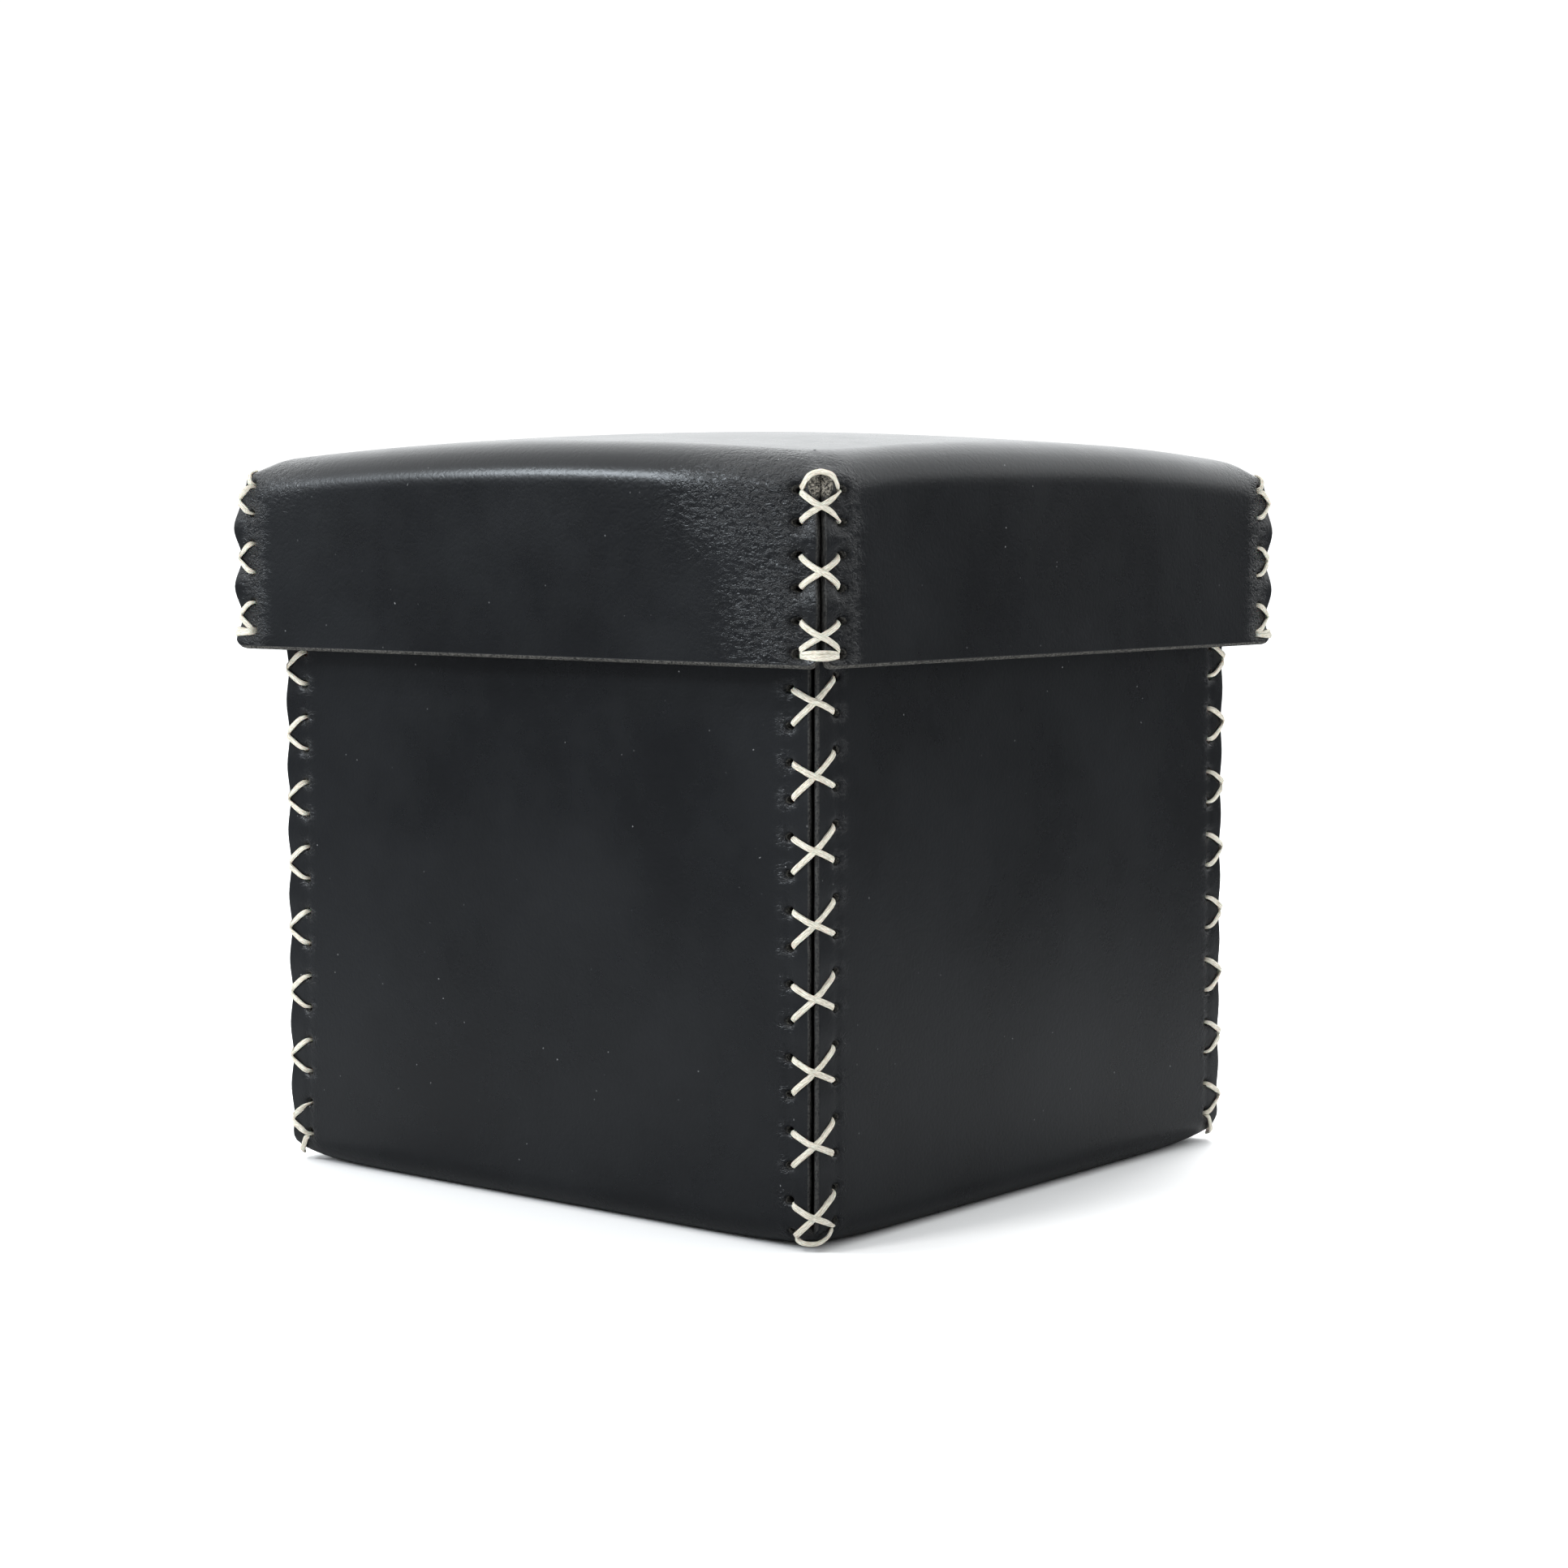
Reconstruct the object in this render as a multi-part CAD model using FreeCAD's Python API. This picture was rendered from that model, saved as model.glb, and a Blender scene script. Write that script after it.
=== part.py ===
import FreeCAD, Part
import math
import os

from FreeCAD import Vector

# Square box of thick black leather with a lift-off lid. Each shell is one folded blank,
# open at its four upright corners, which are laced together with cord.
# Millimetres, +Z up. The origin is the centre of the underside; the front is -Y.

# Leather
LEATHER = 3.0

# Body
BODY_SIDE = 160.0
BODY_HEIGHT = 161.6
BODY_FOLD = 6.5
BODY_GAP = 1.2
BODY_SLIT_FROM = 4.2

# Lid, where it rests on the body
LID_SIDE = 176.6
LID_EDGE_Z = 121.4
LID_TOP_Z = 171.8
LID_FOLD = 8.0
LID_GAP = 1.8
DOME_RADIUS = 960.0
CORNER_HOLE = 5.0
CORNER_HOLE_Z = 160.8

# Lacing
CORD = 1.2
CORD_SPACING = 1.25
HOLE = 1.7
HOLE_INSET = 7.2
BODY_PITCH = 7.63
BODY_CROSSES = 10
LID_CROSSES = 3
HOLE_BEND = 1.0
CORNER_BEND = 2.0
KNOT = 2.8
TAIL = 4.0

# The holes are punched by hand, so each corner has its own. In order: the corner's turn
# about Z from the front right one, the height of its lowest body crossing, how far its
# right-hand body holes stand above the left-hand ones, the height of its top lid
# crossing, and the spacing of its lid holes.
CORNERS = {
    "front_right": (0, 7.6, 2.6, 154.1, 6.6),
    "back_right": (90, 11.2, 0.7, 155.2, 6.9),
    "back_left": (180, 9.2, 1.6, 155.4, 6.7),
    "front_left": (270, 9.7, 0.9, 156.2, 6.8),
}

# A cord clears the leather, and its own neighbouring strands, by this much.
CLEAR = 0.05
ON_LEATHER = CORD / 2 + CLEAR
# The share of a straight run that the arc at either end may use.
ARC_SHARE = 0.45


def box(low, high):
    size = high - low
    return Part.makeBox(size.x, size.y, size.z, low)


def square_block(side, z_low, z_high):
    half = side / 2
    return box(Vector(-half, -half, z_low), Vector(half, half, z_high))


def rounded(solid, radius, wanted):
    edges = [edge for edge in solid.Edges if wanted(edge)]
    return solid.makeFillet(radius, edges)


def level_at(z_low, z_high):
    """Picks edges whose ends are level with each other, between two heights."""
    def wanted(edge):
        ends = [vertex.Z for vertex in edge.Vertexes]
        return max(ends) - min(ends) < CLEAR and z_low - CLEAR < ends[0] < z_high + CLEAR
    return wanted


def turned(shape, degrees):
    copy = shape.copy()
    copy.rotate(Vector(0, 0, 0), Vector(0, 0, 1), degrees)
    return copy


# ---- The two leather shells

def corner_slit(half, gap, z_low, z_high):
    """Upright slot along the diagonal of the front right corner, through the wall."""
    inner = (half - LEATHER) * math.sqrt(2) - LEATHER
    outer = half * math.sqrt(2) + LEATHER
    slot = box(Vector(inner, -gap / 2, z_low), Vector(outer, gap / 2, z_high))
    return turned(slot, -45)


def body_blank():
    outer = square_block(BODY_SIDE, 0, BODY_HEIGHT)
    outer = rounded(outer, BODY_FOLD, level_at(0, 0))
    inner = square_block(BODY_SIDE - 2 * LEATHER, LEATHER, BODY_HEIGHT + LEATHER)
    inner = rounded(inner, BODY_FOLD - LEATHER, level_at(LEATHER, LEATHER))
    return outer.cut(inner)


def dome_block(side, top_z, radius, fold):
    """Square block under a shallow dome, with its top edges folded over."""
    block = square_block(side, LID_EDGE_Z - LEATHER, top_z)
    dome = Part.makeSphere(radius, Vector(0, 0, top_z - radius))
    block = block.common(dome)
    return rounded(block, fold, level_at(LID_EDGE_Z, top_z))


def lid_blank():
    outer = dome_block(LID_SIDE, LID_TOP_Z, DOME_RADIUS, LID_FOLD)
    inner = dome_block(LID_SIDE - 2 * LEATHER, LID_TOP_Z - LEATHER,
                       DOME_RADIUS - LEATHER, LID_FOLD - LEATHER)
    lid = outer.cut(inner)
    half = LID_SIDE / 2
    below = box(Vector(-half, -half, 0), Vector(half, half, LID_EDGE_Z))
    return lid.cut(below)


def corner_opening():
    """Round opening where the lid's two folds meet above the front right seam."""
    reach = LID_SIDE / math.sqrt(2)
    drill = Part.makeCylinder(CORNER_HOLE / 2, 4 * LEATHER, Vector(reach - 3 * LEATHER, 0, 0),
                              Vector(1, 0, 0))
    drill.translate(Vector(0, 0, CORNER_HOLE_Z))
    return turned(drill, -45)


def lacing_hole(half, side, z_low, z_high):
    """Hole through one wall, drawn out upwards where it takes more than one strand."""
    start = wall_point(half, side, -2 * LEATHER, z_low)
    axis = wall_point(half, side, LEATHER, z_low) - start
    hole = Part.makeCylinder(HOLE / 2, axis.Length, start, axis)
    if z_high == z_low:
        return hole
    top = hole.copy()
    top.translate(Vector(0, 0, z_high - z_low))
    slot = box(Vector(-HOLE / 2, 0, 0), Vector(HOLE / 2, axis.Length, z_high - z_low))
    slot.rotate(Vector(0, 0, 0), Vector(0, 0, 1), math.degrees(math.atan2(axis.y, axis.x)) - 90)
    slot.translate(start)
    return hole.fuse([top, slot])


# ---- The lacing of one corner, laid out at the front right one.
# Holes are numbered from the seam's closed end: the bottom of the body, the top of the lid.

def wall_point(half, side, out, z, inset=HOLE_INSET):
    """Point out from the left-hand (L) or right-hand (R) wall, inset from the corner."""
    if side == "L":
        return Vector(half - inset, -half - out, z)
    return Vector(half + out, -half + inset, z)


def corner_point(half, out, z):
    return Vector(half + out, -half - out, z)


class Seam:
    """One laced corner: where its holes are and how its cord runs."""

    def __init__(self, half, crosses, first_cross, pitch, skew, upward, loop_points):
        self.half = half
        self.crosses = crosses
        self.first = {"L": first_cross - skew / 2, "R": first_cross + skew / 2}
        self.pitch = pitch
        self.upward = upward
        self.loop_points = loop_points

    def level(self, side, number):
        """Height of a hole's middle."""
        steps = number - 0.5
        return self.first[side] + self.upward * steps * self.pitch

    def strand_level(self, side, number, lane):
        """Height of one strand in a hole that takes several."""
        return self.level(side, number) + self.upward * lane * CORD_SPACING

    def behind(self, depth):
        """How far out a strand inside the wall lies: depth 1 is on the leather, 2 on that strand."""
        return -LEATHER - ON_LEATHER - (depth - 1) * CORD_SPACING

    def inner(self, side, z, depth, inset=HOLE_INSET):
        return wall_point(self.half, side, self.behind(depth), z, inset)

    def outer(self, side, z):
        return wall_point(self.half, side, ON_LEATHER, z)

    def leg_corner(self, left_z, right_z):
        """Where a leg rounds the corner. The leg that falls from left to right lies on top."""
        lift = CORD_SPACING / math.sqrt(2) if left_z > right_z else 0
        return corner_point(self.half, ON_LEATHER + lift, (left_z + right_z) / 2)

    def leg(self, side, start_z, end_z):
        """Outside run from one wall to the other."""
        other = "R" if side == "L" else "L"
        left_z, right_z = (start_z, end_z) if side == "L" else (end_z, start_z)
        return [self.outer(side, start_z), self.leg_corner(left_z, right_z),
                self.outer(other, end_z)]

    def strand(self, side, depth):
        """Half the cord, from the closed end's loop to its knot at the open end."""
        other = "R" if side == "L" else "L"
        last = 2 * self.crosses - 1
        start = self.strand_level(side, 0, -0.5)
        points = [self.outer(side, start), self.inner(side, start, 1)]
        enter = self.level(side, 1)
        points.append(self.inner(side, enter, 1))
        leave = self.strand_level(other, 0, 0.5)
        points += self.leg(side, enter, leave)
        side, other = other, side
        points.append(self.inner(side, leave, 2))
        inside = 2
        for number in range(2, last, 2):
            enter = self.level(side, number)
            points.append(self.inner(side, enter, inside))
            lane = -1 if number + 1 == last else 0
            leave = self.strand_level(other, number + 1, lane)
            points += self.leg(side, enter, leave)
            side, other = other, side
            inside = depth if number + 1 == last else 1
            points.append(self.inner(side, leave, inside))
        bar = self.strand_level("L", last, depth - 1)
        points.append(corner_point(self.half, self.behind(depth), (leave + bar) / 2))
        points.append(self.inner(other, bar, inside))
        points.append(self.outer(other, bar))
        points.append(corner_point(self.half, ON_LEATHER, bar))
        points.append(self.outer(side, bar))
        points.append(self.inner(side, bar, 1))
        points.append(self.inner(side, bar, 1, HOLE_INSET + TAIL))
        return points

    def route(self):
        first = self.strand("L", 1)
        second = self.strand("R", 2)
        return list(reversed(first)) + self.loop_points + second

    def holes(self):
        last = 2 * self.crosses - 1
        found = []
        for side in ("L", "R"):
            for number in range(last + 1):
                lanes = {0: (-0.5, 0.5), last: (-1, 1)}.get(number, (0, 0))
                levels = [self.strand_level(side, number, lane) for lane in lanes]
                found.append(lacing_hole(self.half, side, min(levels), max(levels)))
        return found


def tube(points, bend_limits):
    """Round cord along straight runs joined by tangent arcs."""
    edges = []
    at = points[0]
    for before, point, after, limit in zip(points, points[1:], points[2:], bend_limits):
        arriving, leaving = point - before, after - point
        half_turn = arriving.getAngle(leaving) / 2
        shorter = min(arriving.Length, leaving.Length)
        radius = min(limit, ARC_SHARE * shorter / math.tan(half_turn))
        setback = radius * math.tan(half_turn)
        arriving.normalize()
        leaving.normalize()
        start, end = point - arriving * setback, point + leaving * setback
        inward = leaving - arriving
        inward.normalize()
        middle = point + inward * radius * (1 / math.cos(half_turn) - 1)
        edges.append(Part.LineSegment(at, start).toShape())
        edges.append(Part.Arc(start, middle, end).toShape())
        at = end
    edges.append(Part.LineSegment(at, points[-1]).toShape())
    path = Part.Wire(edges)
    circle = Part.Circle(points[0], points[1] - points[0], CORD / 2)
    solid = path.makePipeShell([Part.Wire([circle.toShape()])], True, False)
    expected = math.pi * CORD * CORD / 4 * path.Length
    print("cord length", round(path.Length, 1), "volume", round(solid.Volume, 1),
          "section times length", round(expected, 1))
    return solid


def lacing(seam):
    """The seam's cord, with a knot at each end."""
    points = seam.route()
    limits = []
    for point in points[1:-1]:
        on_corner = abs(abs(point.x) - abs(point.y)) < CLEAR
        limits.append(CORNER_BEND if on_corner else HOLE_BEND)
    cord = tube(points, limits)
    knots = [Part.makeSphere(KNOT / 2, end) for end in (points[0], points[-1])]
    return cord.fuse(knots)


def body_seam(name):
    """The loop at the closed end passes round the drawn-up bottom corner."""
    turn, first_cross, skew, lid_cross, lid_pitch = CORNERS[name]
    half = BODY_SIDE / 2
    loop_z = first_cross - 0.83 * BODY_PITCH
    return Seam(half, BODY_CROSSES, first_cross, BODY_PITCH, skew, 1,
                [corner_point(half, -CORD / 2, loop_z)])


def lid_seam(name):
    """The loop at the closed end arches over the opening in the lid's top corner."""
    turn, first_cross, skew, lid_cross, lid_pitch = CORNERS[name]
    half = LID_SIDE / 2
    arch = [wall_point(half, "L", 0.3, lid_cross + 6.2, 5.2),
            corner_point(half, -2.6, lid_cross + 8.4),
            wall_point(half, "R", 0.3, lid_cross + 6.2, 5.2)]
    return Seam(half, LID_CROSSES, lid_cross, lid_pitch, 0, -1, arch)


def open_corners(blank, seam_of, openings):
    """Cut a blank's corner openings and lacing holes."""
    for name, (turn, *heights) in CORNERS.items():
        tools = openings + seam_of(name).holes()
        blank = blank.cut([turned(tool, turn) for tool in tools])
    return blank


def write(name, shape):
    solids = shape.Solids
    print(name, "valid", shape.isValid(), "solids", len(solids), "volume", round(shape.Volume, 1))
    shape = solids[0] if len(solids) == 1 else shape
    shape.exportStep("parts/" + name + ".step")


os.makedirs("parts", exist_ok=True)

body_slit = corner_slit(BODY_SIDE / 2, BODY_GAP, BODY_SLIT_FROM, BODY_HEIGHT + 1)
write("body_shell", open_corners(body_blank(), body_seam, [body_slit]))

lid_slit = corner_slit(LID_SIDE / 2, LID_GAP, LID_EDGE_Z - 1, CORNER_HOLE_Z)
write("lid_shell", open_corners(lid_blank(), lid_seam, [lid_slit, corner_opening()]))

for corner, (turn, *heights) in CORNERS.items():
    write("body_lacing_" + corner, turned(lacing(body_seam(corner)), turn))
    write("lid_lacing_" + corner, turned(lacing(lid_seam(corner)), turn))
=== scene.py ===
import math
import bmesh
import bpy
import numpy as np
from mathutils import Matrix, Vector


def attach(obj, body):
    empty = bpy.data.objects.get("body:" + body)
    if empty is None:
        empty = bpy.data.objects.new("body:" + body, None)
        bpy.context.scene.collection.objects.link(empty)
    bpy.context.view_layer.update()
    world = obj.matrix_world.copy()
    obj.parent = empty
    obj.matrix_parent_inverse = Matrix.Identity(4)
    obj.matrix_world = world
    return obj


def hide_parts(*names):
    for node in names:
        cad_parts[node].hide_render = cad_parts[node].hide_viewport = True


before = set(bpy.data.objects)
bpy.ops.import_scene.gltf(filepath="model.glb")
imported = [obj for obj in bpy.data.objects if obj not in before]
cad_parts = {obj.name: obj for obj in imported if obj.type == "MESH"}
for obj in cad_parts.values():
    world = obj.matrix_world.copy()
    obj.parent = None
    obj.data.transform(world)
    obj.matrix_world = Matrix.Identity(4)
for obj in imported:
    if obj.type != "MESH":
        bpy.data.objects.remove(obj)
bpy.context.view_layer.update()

MM = 0.001
scene = bpy.context.scene
scene.view_settings.view_transform = "Standard"


class Tree:
    """A node tree being wired up, for a finish, the light or a geometry tree."""

    def __init__(self, node_tree):
        self.nodes = node_tree.nodes
        self.links = node_tree.links

    def node(self, kind, settings=None, inputs=None):
        """Add a node: its settings first, then the values or links of its sockets."""
        made = self.nodes.new(kind)
        for name, value in (settings or {}).items():
            setattr(made, name, value)
        for name, value in (inputs or {}).items():
            socket = made.inputs[name]
            if isinstance(value, Wire):
                self.links.new(value.socket, socket)
            else:
                socket.default_value = value
        return made

    def wire(self, kind, settings=None, inputs=None, output=0):
        return Wire(self, self.node(kind, settings, inputs).outputs[output])

    def noise(self, vector, scale, detail=2.0, roughness=0.5, distortion=0.0):
        return self.wire("ShaderNodeTexNoise", None, {
            "Vector": vector, "Scale": scale, "Detail": detail,
            "Roughness": roughness, "Distortion": distortion})

    def blend(self, mask, first, second):
        """A colour that goes from first to second as the mask goes from 0 to 1."""
        return self.wire("ShaderNodeMix", {"data_type": "RGBA"},
                         {0: mask, 6: first, 7: second}, output=2)

    def between(self, value, low, high):
        """0 below low, 1 above high and smooth in between."""
        return self.wire("ShaderNodeMapRange", {"interpolation_type": "SMOOTHSTEP"}, {
            "Value": value, "From Min": low, "From Max": high})

    def place(self, vector, scale):
        return self.wire("ShaderNodeVectorMath", {"operation": "MULTIPLY"}, {0: vector, 1: scale})


class Wire:
    """An output socket that takes part in sums."""

    def __init__(self, tree, socket):
        self.tree = tree
        self.socket = socket

    def math(self, operation, other, turned=False):
        pair = (other, self) if turned else (self, other)
        return self.tree.wire("ShaderNodeMath", {"operation": operation}, dict(enumerate(pair)))

    def __add__(self, other):
        return self.math("ADD", other)

    def __sub__(self, other):
        return self.math("SUBTRACT", other)

    def __rsub__(self, other):
        return self.math("SUBTRACT", other, turned=True)

    def __mul__(self, other):
        return self.math("MULTIPLY", other)

    def __pow__(self, other):
        return self.math("POWER", other)

    __radd__ = __add__
    __rmul__ = __mul__


TABLE_REACH = 40.0
TABLE_WHITE = (0.97, 0.97, 0.97, 1)
TABLE_ROUGH = 0.7
TABLE_GLOSS = 0.1
# Painted reflection: glossy rays see the table as a painted pool of light in grey round the box, fading to
# near black further away.
PAINTED_POOL_START = 0.12
PAINTED_POOL_REACH = 0.8
REFLECTED_LIGHT_POOL_GREY = (0.27, 0.275, 0.278, 1)
REFLECTED_DARK_FAR_GREY = (0.035, 0.037, 0.039, 1)
HORIZON_LIGHT = 0.14
ZENITH_LIGHT = 1.5

TO_THE_RIGHT = (0.77, 0.64, 0.0)
TO_THE_BACK = (-0.64, 0.77, 0.0)
BACKDROP_LIGHT = 0.8
SKY_COLOUR = (0.97, 0.99, 1, 1)
WHITE_AROUND = 1.1

table_corners = [(x * TABLE_REACH, y * TABLE_REACH, 0) for x, y in ((-1, -1), (1, -1), (1, 1), (-1, 1))]
table_mesh = bpy.data.meshes.new("table_top")
table_mesh.from_pydata(table_corners, [], [(0, 1, 2, 3)])
table = bpy.data.objects.new("table_top", table_mesh)
scene.collection.objects.link(table)
table_paint = bpy.data.materials.new("table_white")
table_paint.use_nodes = True
table_shader = table_paint.node_tree.nodes["Principled BSDF"]
table_shader.inputs["Roughness"].default_value = TABLE_ROUGH
paint = Tree(table_paint.node_tree)
table_spot = paint.wire("ShaderNodeTexCoord", output=3)
from_box = paint.wire("ShaderNodeVectorMath", {"operation": "LENGTH"}, {0: table_spot}, output=1)
# Glossy rays get these painted reflection greys; camera and diffuse rays see plain white.
painted_reflection = paint.blend(paint.between(from_box, PAINTED_POOL_START, PAINTED_POOL_REACH), REFLECTED_LIGHT_POOL_GREY, REFLECTED_DARK_FAR_GREY)
paint.links.new(paint.blend(paint.wire("ShaderNodeLightPath", output=3), TABLE_WHITE, painted_reflection).socket,
                table_shader.inputs["Base Color"])
table_shader.inputs["Specular IOR Level"].default_value = TABLE_GLOSS
table_mesh.materials.append(table_paint)

world = bpy.data.worlds.new("studio")
world.use_nodes = True
scene.world = world
world.node_tree.nodes.clear()
sky = Tree(world.node_tree)
toward = sky.wire("ShaderNodeTexCoord", output=0)
height = sky.wire("ShaderNodeSeparateXYZ", None, {0: toward}, output=2)
upward = sky.between(height, 0.0, 0.42)
aside = sky.wire("ShaderNodeVectorMath", {"operation": "DOT_PRODUCT"}, {0: toward, 1: TO_THE_RIGHT}, output=1)
soft_light = HORIZON_LIGHT + upward * (ZENITH_LIGHT - HORIZON_LIGHT)
behind = sky.wire("ShaderNodeVectorMath", {"operation": "DOT_PRODUCT"}, {0: toward, 1: TO_THE_BACK}, output=1)
soft_light = soft_light * (0.65 + sky.between(behind, -0.8, 0.8) * 0.6 + sky.between(aside, 0.5, -0.5) * 0.1)
backdrop = sky.between(behind, 0.35, 0.92) * (0.65 + sky.between(height, 0.3, 0.0) * 1.1)
soft_light = soft_light + backdrop * BACKDROP_LIGHT
lamp = sky.node("ShaderNodeBackground", None, {"Color": SKY_COLOUR, "Strength": soft_light})
white = sky.node("ShaderNodeBackground", None, {"Color": (1, 1, 1, 1), "Strength": WHITE_AROUND})
seen = sky.wire("ShaderNodeLightPath", output=0)
either = sky.node("ShaderNodeMixShader", None, {0: seen})
sky.links.new(lamp.outputs[0], either.inputs[1])
sky.links.new(white.outputs[0], either.inputs[2])
sky.links.new(either.outputs[0], sky.node("ShaderNodeOutputWorld").inputs[0])

KEY_PLACE = (-0.2, 0.6, 1.2)
SIDE_PLACE = (-0.15, -0.9, 1.05)
GLANCE_PLACE = (-0.78, -0.95, 0.6)
GLANCE_COLOUR = (0.85, 0.93, 1.0)


def soft_box(name, place, size, power, colour=(1.0, 1.0, 1.0)):
    """A square light that faces the foot of the box."""
    data = bpy.data.lights.new(name, "AREA")
    data.size = size
    data.energy = power
    data.color = colour
    light = bpy.data.objects.new(name, data)
    light.location = place
    light.rotation_euler = (-Vector(place)).to_track_quat("-Z", "Y").to_euler()
    scene.collection.objects.link(light)
    return light


key_light = soft_box("key_light", KEY_PLACE, 0.6, 18.0)
key_light.visible_glossy = False
soft_box("side_light", SIDE_PLACE, 0.2, 5.0)
soft_box("glancing_light", GLANCE_PLACE, 0.2, 6.0, GLANCE_COLOUR)

CAMERA_TURN = math.radians(39.46)
CAMERA_FAR = 0.74779
CAMERA_HIGH = 0.15042
CAMERA_DOWN = math.radians(4.74)
CAMERA_PAN = math.radians(-0.4)
camera_data = bpy.data.cameras.new("camera")
camera_data.lens = 71.99
camera_data.sensor_width = 36.0
camera_data.clip_end = 100.0
camera = bpy.data.objects.new("camera", camera_data)
camera.location = (math.sin(CAMERA_TURN) * CAMERA_FAR, -math.cos(CAMERA_TURN) * CAMERA_FAR, CAMERA_HIGH)
camera.rotation_euler = (math.radians(90) - CAMERA_DOWN, 0, CAMERA_TURN + CAMERA_PAN)
scene.collection.objects.link(camera)
scene.camera = camera


# ---- The body
# One cross-shaped blank of thick black leather: the base and the four walls are one piece,
# folded up with rounded bottom edges. The four upright corners stay open, their cut edges
# butt together, and a row of punched holes runs down each side of them.
LEATHER = 3.0
HOLE_INSET = 7.2
CELL_ROWS = 6
CUT_DEPTHS = (0.0, 0.08, 0.35, 0.9, 1.5, 2.1, 2.7, 3.0)
BOWL = (1.0, 0.97, 0.9, 0.6, 0.12, 0.0, 0.0, 0.0)
MEET = (0.0, 0.0, 0.0, 0.3, 0.85, 1.0, 1.0, 0.0)
RIM_RISE = (1.3, 1.05, 0.5, 0.1, 0.0, 0.03, 0.2, 0.7)
EDGE_STEPS = (0.0, 0.14, 0.34, 0.62, 1.0)
FLAP_CORNER = 2.6
FOLD_STEPS = np.array([0.12, 0.24, 0.34, 0.42, 0.48, 0.6, 0.72, 0.84, 0.93, 1.0])
# A punched hole, from the wall's face in and out at the back: the share of the way still
# to go to the square round it, its size against the hole's own, and the depth.
PUNCH_RINGS = ((0.72, 1.5, 0.0), (0.48, 1.5, 0.0), (0.28, 1.5, 0.0), (0.12, 1.5, 0.0),
               (0.0, 1.42, 0.02), (0.0, 1.22, 0.1), (0.0, 1.07, 0.28), (0.0, 1.0, 0.6), (0.0, 0.97, 1.6),
               (0.0, 1.05, LEATHER), (0.14, 1.05, LEATHER), (0.45, 1.05, LEATHER))
# How raw the cut edge looks at least, beside a tight seam.
EDGE_RAW = 0.42


def smooth(value, low, high):
    """0 below low, 1 above high and smooth in between."""
    t = np.clip((value - low) / (high - low), 0.0, 1.0)
    return t * t * (3 - 2 * t)


def hump(value, centre, reach):
    return np.exp(-((value - centre) / reach) ** 2)


def waviness(points, scale, seed):
    """Slow unevenness of about -1 to 1, a sum of a few slanted waves."""
    rng = np.random.default_rng(seed)
    total = np.zeros(len(points))
    for _ in range(7):
        direction = rng.normal(size=3)
        direction /= np.linalg.norm(direction)
        phase = rng.uniform(0, 2 * math.pi)
        total += np.sin(points @ direction * (2 * math.pi / scale) * rng.uniform(0.6, 1.5) + phase)
    return total / 3.5


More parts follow.
